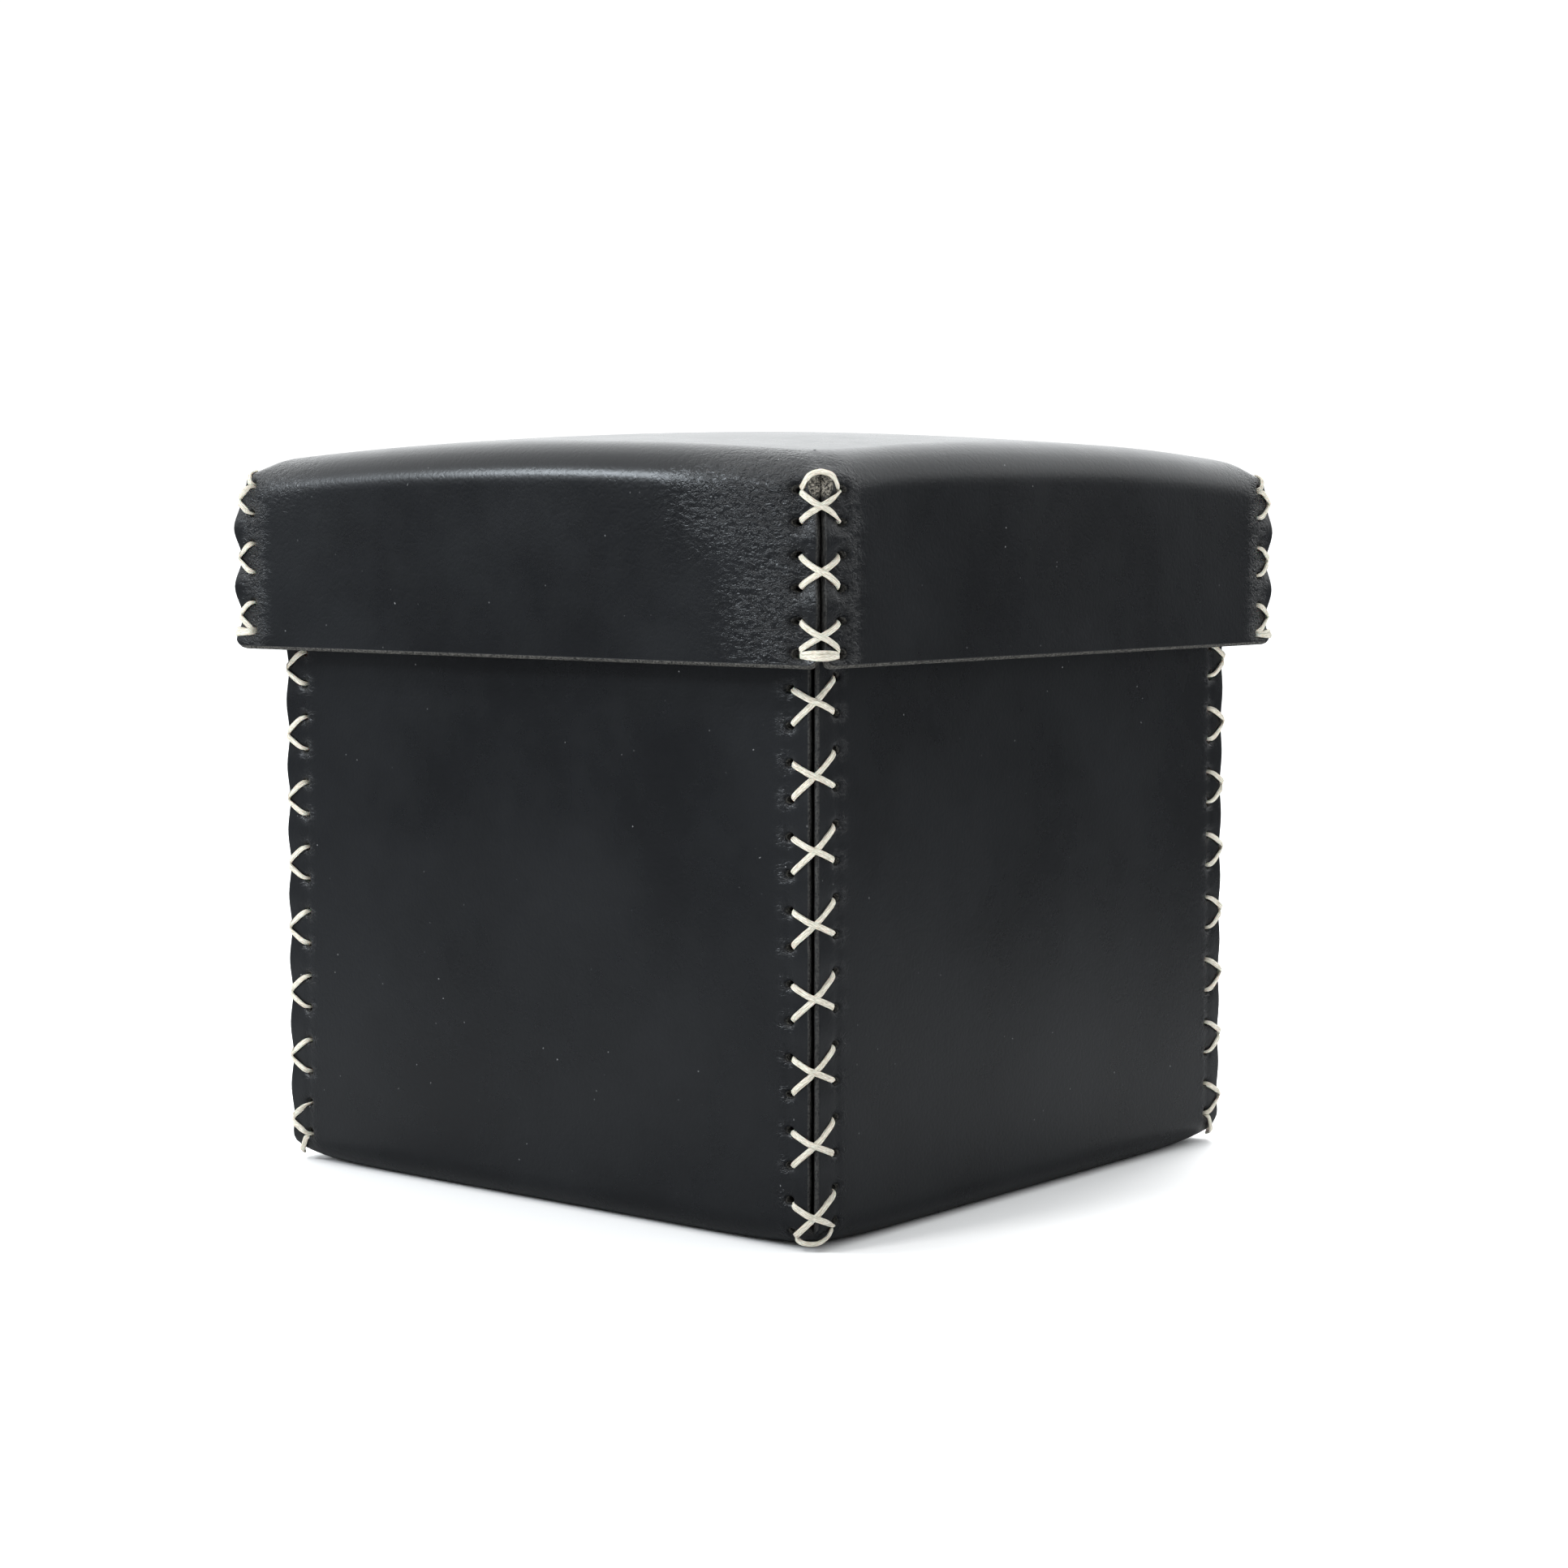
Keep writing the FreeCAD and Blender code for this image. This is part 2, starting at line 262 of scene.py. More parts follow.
class Blank:
    """One folded blank, in millimetres.

    A place on it is given by its wall (0 is the front, then anticlockwise seen from above),
    its end of that wall (-1 left, 1 right, seen from outside), the distance s from that
    end's corner, the level q along the leather towards the closed end, and the depth below
    the outer face. The body is closed at the bottom, so its levels are heights below zero.
    """

    def __init__(self, half, way, open_level, fold, dome, corners, crosses, gap, closure,
                 corner_round, scallop, opening, dimple, strip, hole, arch_lift, tug, creased,
                 round_in, crease):
        self.round_in = round_in
        self.crease = crease
        self.hole = hole
        self.tug = tug
        self.creased = creased
        self.arch_lift = arch_lift
        self.half = half
        self.low = strip
        self.high = 2 * HOLE_INSET - strip
        self.way = way
        self.open_level = open_level
        self.fold = fold
        self.dome = dome
        self.corners = corners
        self.crosses = crosses
        self.gap = gap
        self.closure = np.array(closure)
        self.corner_round = corner_round
        self.scallop = scallop
        self.opening = opening
        self.dimple = dimple

    def corner_of(self, wall, end):
        """Corner 0 is the front right one: a wall's right end is its own corner."""
        return np.where(end > 0, wall, (wall - 1) % 4)

    def hole_level(self, corner, end, number):
        """Level of a hole, counted from the closed end. The left-hand wall has end 1."""
        first, pitch, skew = self.corners[corner][:3]
        height = first - end * skew / 2 - self.way * (number - 0.5) * pitch
        return self.way * height

    def cross_level(self, corner):
        first, pitch = self.corners[corner][:2]
        return self.way * first, 2 * pitch

    def fold_start(self, s):
        return self.dome(self.half - s, self.half) - self.fold

    def widening(self, q, corner):
        """How much wider the seam stands open at its closed end."""
        low, full, width = self.opening
        ahead = self.closure[corner] - q
        rounded = np.clip(1 - ahead / 1.7, 0, 1)
        return width * smooth(-ahead, -low, -full) * np.sqrt(1 - 0.85 * rounded ** 2)

    def place(self, wall, end, s, q, depth, step=None, edge=0.0, flap_corners=True):
        """Where points lie, and which way the leather faces there.

        In the strip beside a seam, step goes from 0 at the cut edge to 1 where s takes over,
        and edge is how far the cut edge stands from the line where the two walls would meet.
        """
        corner = self.corner_of(wall, end)
        if step is None:
            step = np.ones(len(s))
        s = np.where(step < 1, edge + (self.low - edge) * step, s)
        s = np.maximum(s, 0)
        flap = np.clip(FLAP_CORNER + 1.3 - s, 0, FLAP_CORNER) / FLAP_CORNER
        drawn = FLAP_CORNER * (1 - np.sqrt(1 - flap ** 2 * 0.999))
        near_edge = np.clip(1 - (q - self.open_level) / 8.0, 0, 1)
        if flap_corners:
            q = q + drawn * near_edge
        start = self.fold_start(s)
        phi = np.clip((q - start) / self.fold, 0, math.pi / 2)
        inset = self.fold * (1 - np.cos(phi)) + depth * np.cos(phi)
        size = self.half - inset
        level_g = self.level_gap(np.where(step < 1, self.low, s), inset)
        level_g = np.where(step < 1, edge + (level_g - edge) * step, level_g)
        closed = self.closure[corner]
        far_round = self.corner_round * smooth(q, closed - 3.5, closed + self.round_in)
        radius = np.maximum(far_round - 0.8 * depth, 0.02)
        turn = np.clip(math.pi / 4 * (1 - level_g / radius), 0, math.pi / 4)
        x = np.where(level_g < radius, size - radius + radius * np.sin(turn), size - level_g)
        y = -np.where(level_g < radius, size - radius + radius * np.cos(turn), size)
        roof = self.dome(np.abs(x), np.abs(y)) - self.dome(self.half - s, self.half)
        up = np.minimum(q, start) + roof * (1 - np.cos(phi)) + (self.fold - depth) * np.sin(phi)
        normal = np.stack([np.sin(turn) * np.cos(phi), -np.cos(turn) * np.cos(phi), np.sin(phi)], 1)
        x, y, up = self.pull(wall, end, corner, s, q, depth, phi, x, y, up, normal)
        x = x * end
        normal[:, 0] *= end
        out = self.turned(wall, np.stack([x, y, up * self.way], 1))
        normal[:, 2] *= self.way
        return out, self.turned(wall, normal)

    def level_gap(self, s, inset):
        """Distance from the corner at a level where the wall has moved in by inset."""
        spread = np.sqrt((0.7 * s - inset) ** 2 + 0.6 * np.clip(inset, 0, 1) * s / self.high)
        return 0.5 * (1.3 * s - inset + spread)

    def pull(self, wall, end, corner, s, q, depth, phi, x, y, up, normal):
        """The lacing draws the corner in at each crossing and dimples the leather at each hole."""
        push = np.zeros(len(s))
        fade_from, fade_to = self.scallop[1]
        calm = 1 - smooth(q - self.closure[corner], fade_from, fade_to)
        for c in range(4):
            first, period = self.cross_level(c)
            here = corner == c
            swell = 0.5 + 0.5 * np.cos(2 * math.pi * (q - first) / period)
            fade = smooth(q, self.open_level - 3, self.open_level + 2) * calm
            drawn = self.scallop[0][c] * swell * fade * hump(s, 0, 6.5) / math.sqrt(2)
            x = x - np.where(here, drawn, 0)
            y = y + np.where(here, drawn, 0)
            deep, wide = self.dimple[c]
            for side in (-1, 1):
                for number in range(2 * self.crosses):
                    level = self.hole_level(c, side, number)
                    near = here & (end == side) & (np.abs(q - level) < 5)
                    if near.any():
                        across = s[near] - HOLE_INSET + 0.5
                        round_hole = (across / wide) ** 2 + ((q[near] - level) / (0.8 * wide)) ** 2
                        push[near] -= deep * np.exp(-round_hole)
                        push[near] += 0.03 * deep * np.exp(-((np.sqrt(round_hole) - 1.7) / 0.5) ** 2)
        push -= self.crease * hump(s, HOLE_INSET, 0.8) * calm
        return (x + push * normal[:, 0], y + push * normal[:, 1], up + push * normal[:, 2])

    def turned(self, wall, points):
        x, y = points[:, 0], points[:, 1]
        cos = np.array([1, 0, -1, 0])[wall]
        sin = np.array([0, 1, 0, -1])[wall]
        return np.stack([x * cos - y * sin, x * sin + y * cos, points[:, 2]], 1)

    def levels(self, corner, end, margin_rows):
        """The rows of one end of a wall, from the open edge to the start of the last fold rows."""
        pitch = self.corners[corner][1]
        holes = [self.hole_level(corner, end, n) for n in range(2 * self.crosses - 1, -1, -1)]
        bounds = [max(holes[0] - pitch / 2, self.open_level + 1.1)]
        bounds += [(a + b) / 2 for a, b in zip(holes, holes[1:])] + [holes[-1] + pitch / 2]
        rows = [self.open_level]
        if margin_rows > 1:
            rows += list(np.linspace(self.open_level + 1.8, bounds[0], margin_rows))
        else:
            rows.append(bounds[0])
        for low, high in zip(bounds, bounds[1:]):
            rows += list(np.linspace(low, high, CELL_ROWS + 1)[1:])
        return np.array(rows)

    def build(self, name, margin_rows, main_columns, hand, seed):
        """The whole blank as one closed mesh with real thickness."""
        cells = np.linspace(self.low, self.high, CELL_ROWS + 1)[1:]
        inward = (np.arange(1, main_columns + 1) / main_columns) ** 1.6
        side_s = np.concatenate([np.full(len(EDGE_STEPS), self.low), cells,
                                 self.high + (self.half - self.high) * inward])
        side_step = np.concatenate([EDGE_STEPS, np.ones(len(side_s) - len(EDGE_STEPS))])
        column_s = np.concatenate([side_s, side_s[-2::-1]])
        column_step = np.concatenate([side_step, side_step[-2::-1]])
        columns = len(column_s)
        column_end = np.where(np.arange(columns) < len(side_s), -1, 1)
        fixed = len(EDGE_STEPS) + len(cells) - 1
        share = smooth(np.arange(columns), fixed, columns - 1 - fixed)
        rows = {(c, e): self.levels(c, e, margin_rows) for c in range(4) for e in (-1, 1)}
        count = len(rows[0, 1])
        total = count + len(FOLD_STEPS)

        def full_rows(levels, s):
            finish = self.fold_start(s) + self.fold * math.pi / 2
            return np.concatenate([levels, levels[-1] + (finish - levels[-1]) * FOLD_STEPS])

        meet = {c: (full_rows(rows[c, 1], 0) + full_rows(rows[c, -1], 0)) / 2 for c in range(4)}
        close = {c: int(np.argmin(np.abs(meet[c] - self.closure[c]))) for c in range(4)}
        spec, cut, flesh, frayed, quads = [], [], [], [], []
        roll = [rise * min(1.0, 0.6 * (rows[0, 1][1] - rows[0, 1][0])) for rise in RIM_RISE]

        def vertex(wall, end, s, q, depth, step=1.0, edge=0.0, raw=0.0, fray=0.0):
            spec.append((wall, end, s, q, depth, step, edge))
            cut.append(raw)
            frayed.append(fray)
            flesh.append(1.0 if depth > LEATHER - 0.01 else 0.0)
            return len(spec) - 1

        boundary = {}
        for wall in range(4):
            corner = {-1: (wall - 1) % 4, 1: wall}
            level = np.zeros((total, columns))
            for i in range(columns):
                s = column_s[i] if column_step[i] == 1 else self.low * column_step[i]
                left = full_rows(rows[corner[-1], -1], s)
                right = full_rows(rows[corner[1], 1], s)
                level[:, i] = (1 - share[i]) * left + share[i] * right
                c = corner[column_end[i]]
                ramp = smooth(np.arange(total), close[c] - 5, close[c])
                level[:, i] += (meet[c] - level[:, i]) * ramp * (1 - column_step[i])
            outer = np.zeros((total, columns), int)
            inner = np.zeros((total, columns), int)
            seam = {}
            for j in range(total):
                for i in range(columns):
                    end = column_end[i]
                    c = corner[end]
                    gaps = self.gap[c][end]
                    wide = self.widening(level[j, i], c)
                    first = gaps[0] + wide if j < close[c] else 0.0
                    last = gaps[-1] if j < close[c] else 0.0
                    q = level[j, i]
                    lift = roll[0] if j == 0 else 0.0
                    outer[j, i] = vertex(wall, end, column_s[i], q + lift, 0.0, column_step[i], first)
                    lift = roll[-1] if j == 0 else 0.0
                    inner[j, i] = vertex(wall, end, column_s[i], q + lift, LEATHER,
                                         column_step[i], last)
            for i, end in ((0, -1), (columns - 1, 1)):
                c = corner[end]
                for j in range(close[c] + 1):
                    line = [outer[j, i]]
                    spread = self.widening(level[j, i], c) / max(self.opening[2], 0.01)
                    for m in range(1, len(CUT_DEPTHS) - 1):
                        wide = self.widening(level[j, i], c) * BOWL[m]
                        edge = 0.0
                        if j < close[c]:
                            edge = self.gap[c][end][m] * (1 - 0.95 * MEET[m] * spread) + wide
                        lift = roll[m] if j == 0 else 0.0
                        line.append(vertex(wall, end, 0, level[j, i] + lift, CUT_DEPTHS[m], 0.0, edge,
                                           EDGE_RAW + (1 - EDGE_RAW) * spread if j else 1.0, spread))
                    seam[end, j] = line + [inner[j, i]]
            rim = [seam[-1, 0]]
            for i in range(1, columns - 1):
                end = column_end[i]
                gaps = self.gap[corner[end]][end]
                line = [outer[0, i]]
                for m in range(1, len(CUT_DEPTHS) - 1):
                    line.append(vertex(wall, end, column_s[i], level[0, i] + roll[m],
                                       CUT_DEPTHS[m], column_step[i], gaps[m], 1.0))
                rim.append(line + [inner[0, i]])
            rim.append(seam[1, 0])
            for i in range(columns - 1):
                for m in range(len(CUT_DEPTHS) - 1):
                    quads.append((rim[i][m + 1], rim[i + 1][m + 1], rim[i + 1][m], rim[i][m]))
            for end in (-1, 1):
                for j in range(close[corner[end]]):
                    for m in range(len(CUT_DEPTHS) - 1):
                        here, above = seam[end, j], seam[end, j + 1]
                        quad = (here[m], above[m], above[m + 1], here[m + 1])
                        quads.append(quad if end < 0 else quad[::-1])
            first_cell = max(margin_rows, 1)
            skip = set()
            for end in (-1, 1):
                c = corner[end]
                i0 = len(EDGE_STEPS) - 1 if end < 0 else columns - fixed - 1
                for number in range(2 * self.crosses):
                    j0 = first_cell + (2 * self.crosses - 1 - number) * CELL_ROWS
                    skip.update((j0 + j, i0 + i) for j in range(CELL_ROWS) for i in range(CELL_ROWS))
                    self.punch(quads, vertex, wall, end, number, outer, inner, level, column_s, i0, j0)
            for j in range(total - 1):
                for i in range(columns - 1):
                    if (j, i) in skip:
                        continue
                    quads.append((outer[j, i], outer[j, i + 1], outer[j + 1, i + 1], outer[j + 1, i]))
                    quads.append((inner[j + 1, i], inner[j + 1, i + 1], inner[j, i + 1], inner[j, i]))
            boundary[wall] = outer[-1], inner[-1]
        data = [np.array(part) for part in zip(*spec)]
        points, normals = self.place(data[0].astype(int), data[1], *data[2:])
        for which in (0, 1):
            rings = [boundary[wall][which] for wall in range(4)]
            points, normals, grid = self.panel(points, normals, rings, LEATHER * which)
            cut += [0.0] * (len(points) - len(cut))
            frayed += [0.0] * (len(points) - len(frayed))
            flesh += [float(which)] * (len(points) - len(flesh))
            for a in range(columns - 1):
                for b in range(columns - 1):
                    quad = (grid[a, b], grid[a, b + 1], grid[a + 1, b + 1], grid[a + 1, b])
                    quads.append(quad if which == 0 else quad[::-1])
        worked = self.worked(points)
        points = points + hand(points, normals, seed)
        if self.way < 0:
            quads = [quad[::-1] for quad in quads]
        return make_mesh(name, points, quads, {
            "cut_edge": cut, "flesh_side": flesh, "worked": worked, "frayed": frayed})

    def worked(self, points):
        """How much the leather has been handled: most round the holes, some over the corners."""
        x, y, z = points.T
        amount = np.zeros(len(points))
        for corner in range(4):
            for side in (1, -1):
                wall = np.array([corner if side > 0 else (corner + 1) % 4])
                beside = np.array([HOLE_INSET + 0.8])
                for number in range(2 * self.crosses):
                    level = float(self.hole_level(corner, side, number))
                    hole, _ = self.place(wall, np.array([side]), beside, np.array([level]), np.zeros(1))
                    away = np.linalg.norm(points - hole[0], axis=1)
                    amount = np.maximum(amount, self.tug[0] * np.exp(-(away / self.tug[1]) ** 2))
        for place, reach, much in self.creased:
            away = np.linalg.norm((points - np.array(place)) / np.array(reach), axis=1)
            amount = np.maximum(amount, much * np.exp(-away ** 2))
        return amount

    def punch(self, quads, vertex, wall, end, number, outer, inner, level, column_s, i0, j0):
        """One punched hole, in a square of the wall's mesh."""
        n = CELL_ROWS
        loop = [(0, i) for i in range(n)] + [(j, n) for j in range(n)]
        loop += [(n, n - i) for i in range(n)] + [(n - j, 0) for j in range(n)]
        corner = self.corner_of(np.array(wall), end).item()
        centre_q = self.hole_level(corner, end, number)
        wide, tall = self.hole[corner]
        if number in (0, 2 * self.crosses - 1):
            tall += 0.25
        lines = [[outer[j0 + j, i0 + i] for j, i in loop]]
        for weight, grow, depth in PUNCH_RINGS:
            line = []
            for j, i in loop:
                s, q = column_s[i0 + i], level[j0 + j, i0 + i]
                angle = math.atan2(q - centre_q, s - HOLE_INSET)
                hole_s = HOLE_INSET + wide * grow * math.cos(angle)
                hole_q = centre_q + tall * grow * math.sin(angle)
                raw = 1.0 if 0.5 < depth < 2.9 else 0.0
                line.append(vertex(wall, end, hole_s + (s - hole_s) * weight, hole_q + (q - hole_q) * weight,
                                   depth, raw=raw))
            lines.append(line)
        lines.append([inner[j0 + j, i0 + i] for j, i in loop])
        for near, far in zip(lines, lines[1:]):
            for a in range(len(loop)):
                b = (a + 1) % len(loop)
                quads.append((near[a], near[b], far[b], far[a]))

    def panel(self, points, normals, rings, depth):
        """The flat or domed face that the four walls fold into."""
        front, right, back, left = [points[ring] for ring in rings]
        n = len(front)
        back, left = back[::-1], left[::-1]
        u = (front[:, 0] - front[0, 0]) / (front[-1, 0] - front[0, 0])
        grid = np.zeros((n, n), int)
        grid[0], grid[:, -1], grid[-1], grid[:, 0] = rings[0], rings[1], rings[2][::-1], rings[3][::-1]
        fresh = []
        for a in range(1, n - 1):
            v = u[a]
            across = (1 - v) * front + v * back
            along = np.outer(1 - u, left[a]) + np.outer(u, right[a])
            both = (1 - v) * (np.outer(1 - u, front[0]) + np.outer(u, front[-1]))
            both += v * (np.outer(1 - u, back[0]) + np.outer(u, back[-1]))
            line = across + along - both
            edge_gap = np.minimum(np.minimum(u, 1 - u), min(v, 1 - v))
            exact = self.way * (self.dome(np.abs(line[:, 0]), np.abs(line[:, 1])) - depth)
            line[:, 2] += (exact - line[:, 2]) * smooth(edge_gap, 0.0, 0.03)
            grid[a, 1:-1] = len(points) + len(fresh) + np.arange(n - 2)
            fresh += list(line[1:-1])
        up = np.tile([0.0, 0.0, float(self.way)], (len(fresh), 1))
        return np.concatenate([points, fresh]), np.concatenate([normals, up]), grid


def make_mesh(name, points, faces, values):
    """A mesh in metres from points in millimetres, with named values on its points.

    Points that lie on each other are joined.
    """
    mesh = bpy.data.meshes.new(name)
    mesh.from_pydata(points * MM, [], faces)
    for key, numbers in values.items():
        mesh.attributes.new(key, "FLOAT", "POINT").data.foreach_set("value", np.array(numbers, np.float32))
    bm = bmesh.new()
    bm.from_mesh(mesh)
    bmesh.ops.remove_doubles(bm, verts=bm.verts, dist=2e-6)
    bm.to_mesh(mesh)
    bm.free()
    mesh.shade_smooth()
    piece = bpy.data.objects.new(name, mesh)
    scene.collection.objects.link(piece)
    return piece


BODY_HALF = 80.0
BODY_TOP = 161.6
BODY_FOLD = 6.5
# Each corner, from the front right one round: height of the lowest crossing, spacing of
# the holes, and how far the right-hand holes stand above the left-hand ones.
BODY_CORNERS = ((7.6, 7.63, 2.6), (11.2, 7.63, 0.7), (9.2, 7.63, 1.6), (9.7, 7.63, 0.9))
LEFT_CUT = (2.3, 1.95, 1.5, 1.05, 0.75, 0.6, 0.35, 0.12)
RIGHT_CUT = (1.5, 1.0, 0.55, -0.25, -0.72, -0.55, -0.2, 0.12)


def flat_base(x, y):
    return 0.0 * x


def body_hand(points, normals, seed):
    """The walls are slightly uneven and the bottom corners are drawn up."""
    x, y, z = points.T
    calm = smooth(z, 2.0, 25.0) * (1 - 0.7 * smooth(z, 150.0, 160.0))
    corner = np.hypot(BODY_HALF - np.abs(x), BODY_HALF - np.abs(y))
    calm *= smooth(corner, 4.0, 24.0)
    shift = normals * (0.28 * waviness(points, 70.0, seed) * calm)[:, None]
    lift = np.where((x > 0) & (y < 0), 1.3, 1.0)
    shift[:, 2] += lift * hump(corner, 0, 15.0) * (1 - smooth(z, 0.0, 30.0))
    return shift


body_blank = Blank(
    half=BODY_HALF, way=-1, open_level=-BODY_TOP, fold=BODY_FOLD, dome=flat_base,
    corners=BODY_CORNERS, crosses=10, gap=[{1: LEFT_CUT, -1: RIGHT_CUT}] * 4, closure=(-2.3,) * 4,
    corner_round=7.0, scallop=((0.7, 0.4, 0.5, 0.65), (-3.7, 6.3)), opening=(2.7, 0.2, 0.0),
    dimple=((0.4, 1.5),) * 4, strip=3.4, hole=((1.05, 0.8),) * 4, arch_lift=0.0,
    tug=(0.5, 2.2), creased=(), round_in=5.5, crease=0.14)
body_leather = body_blank.build("body_leather", 4, 12, body_hand, 11)


SKIN_DARK, SKIN_PALE = (0.0045, 0.005, 0.006, 1), (0.0075, 0.0083, 0.0098, 1)
PORE_BLACK, SPECK_GREY = (0.005, 0.005, 0.0055, 1), (0.2, 0.205, 0.21, 1)
SUEDE_DARK, SUEDE_PALE = (0.022, 0.016, 0.012, 1), (0.055, 0.042, 0.032, 1)
FIBRE_DARK, FIBRE_PALE = (0.008, 0.008, 0.0078, 1), (0.1, 0.097, 0.088, 1)
TUFT_DARK, TUFT_PALE = (0.012, 0.011, 0.01, 1), (0.27, 0.25, 0.21, 1)
LEATHER_GLOSS = 0.28
ROUGH_SKIN, ROUGH_SUEDE = 0.25, 0.88


def leather_finish(name):
    """Dull black leather: grain and pores outside, suede inside, paler on the cut edges."""
    finish = bpy.data.materials.new(name)
    finish.use_nodes = True
    tree = Tree(finish.node_tree)
    shader = tree.nodes["Principled BSDF"]
    spot = tree.wire("ShaderNodeTexCoord", output=3)
    raw = tree.wire("ShaderNodeAttribute", {"attribute_name": "cut_edge"}, output=2)
    flesh = tree.wire("ShaderNodeAttribute", {"attribute_name": "flesh_side"}, output=2)
    raw = tree.between(raw, 0.0, 1.0)
    flesh = tree.between(flesh, 0.3, 0.8)
    cloud = tree.noise(spot, 22.0, 4.0, 0.6)
    mottle = tree.noise(spot, 140.0, 5.0, 0.62)
    stray = tree.wire("ShaderNodeTexNoise", None, {"Vector": spot, "Scale": 420.0}, output=1)
    bent = tree.wire("ShaderNodeVectorMath", {"operation": "ADD"}, {
        0: spot, 1: tree.place(stray, (0.0012, 0.0012, 0.0012))})
    pebble = tree.wire("ShaderNodeTexVoronoi", {"feature": "SMOOTH_F1"}, {
        "Vector": bent, "Scale": 1150.0, "Smoothness": 0.6})
    crack = tree.wire("ShaderNodeTexVoronoi", {"feature": "DISTANCE_TO_EDGE"}, {
        "Vector": bent, "Scale": 430.0})
    crack = tree.between(crack, 0.0, 0.16)
    pore = tree.wire("ShaderNodeTexVoronoi", {"feature": "F1"}, {
        "Vector": spot, "Scale": 820.0, "Randomness": 1.0})
    pore = tree.between(pore, 0.05, 0.2)
    speck = 1 - tree.between(tree.wire("ShaderNodeTexVoronoi", {"feature": "F1"}, {
        "Vector": bent, "Scale": 260.0, "Randomness": 1.0}), 0.03, 0.06)
    speck = speck * tree.between(tree.noise(spot, 60.0, 2.0), 0.46, 0.66)
    handled = tree.wire("ShaderNodeAttribute", {"attribute_name": "worked"}, output=2)
    wrinkle = tree.noise(tree.place(spot, (1.0, 1.0, 1.6)), 480.0, 3.0, 0.55, 1.2)
    wrinkle = 1 - (wrinkle * 2 - 1).math("ABSOLUTE", 0.0) * 2.2
    fuzz = tree.noise(spot, 2200.0, 3.0, 0.7)
    nap = tree.noise(spot, 700.0, 5.0, 0.75)

    skin = tree.blend(tree.between(cloud, 0.3, 0.7), SKIN_DARK, SKIN_PALE)
    skin = tree.blend((1 - pore) * 0.5, skin, PORE_BLACK)
    skin = tree.blend(speck * 0.8, skin, SPECK_GREY)
    suede = tree.blend(tree.between(nap, 0.3, 0.7), SUEDE_DARK, SUEDE_PALE)
    fibre = tree.blend(tree.between(fuzz, 0.35, 0.65), FIBRE_DARK, FIBRE_PALE)
    frayed = tree.wire("ShaderNodeAttribute", {"attribute_name": "frayed"}, output=2)
    tuft = tree.blend(tree.between(fuzz, 0.4, 0.62), TUFT_DARK, TUFT_PALE)
    colour = tree.blend(flesh, skin, suede)
    colour = tree.blend(raw, colour, fibre)
    colour = tree.blend(tree.between(frayed, 0.1, 0.9), colour, tuft)
    tree.links.new(colour.socket, shader.inputs["Base Color"])
    sheen = ROUGH_SKIN + tree.between(mottle, 0.3, 0.7) * 0.025 + tree.between(cloud, 0.3, 0.7) * 0.04
    dull = tree.wire("ShaderNodeMath", {"operation": "MAXIMUM"}, {0: raw, 1: flesh})
    rough = sheen + dull * (ROUGH_SUEDE - sheen)
    tree.links.new(rough.socket, shader.inputs["Roughness"])
    shader.inputs["Specular IOR Level"].default_value = LEATHER_GLOSS
    outside = 1 - dull
    relief = outside * (pebble * -0.016 + crack * 0.005 + pore * 0.01 + mottle * 0.006)
    relief = relief + outside * handled * (wrinkle * 0.34 + pebble * -0.16)
    relief = relief + flesh * (fuzz * 0.12 + nap * 0.22) + raw * (fuzz * 0.5)
    bump = tree.node("ShaderNodeBump", None, {"Strength": 1.0, "Distance": 0.001, "Height": relief})
    tree.links.new(bump.outputs[0], shader.inputs["Normal"])
    return finish


black_leather = leather_finish("black_leather")
body_leather.data.materials.append(black_leather)
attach(body_leather, "box")
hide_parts("body_shell")


# ---- The body's lacing
# One long flat waxed cord in each corner. Its middle is the loop round the closed end of
# the seam; the two halves cross over the seam in a row of Xs, run inside from one X to the
# next, and each makes one of the two bars at the open end before it is knotted inside.
CORD_WIDE = 1.24
CORD_THICK = 0.56
ABOVE = 0.28
UNDER_SIDE = LEATHER + 0.36
LANE = 0.55
BAR_LANE = 0.85
OVER = 0.45
CORD_IN = 6.6
LEG_REACH = 5.5
SEAM_CLEAR = 1.0
INSIDE_RUN = 7.3
LOOP_REACH = 5.6
TUCK = (6.6, 5.2, 4.1)
TAIL_OUT = 9.0
KNOT_OUT = 12.6
KNOT_SIZE = 1.55
KNOT_HIGH = 0.75
KNOT_NARROW = 0.78
POINT_STEP = 0.2
# Down a hole: the distance from the seam, the depth, and the share of the cord's width.
HOLE_WAY = ((5.9, -0.26, 0.97), (6.25, -0.08, 0.95), (6.52, 0.45, 0.88), (6.62, 1.4, 0.82),
            (6.7, 2.5, 0.82), (7.0, 3.3, 0.9))


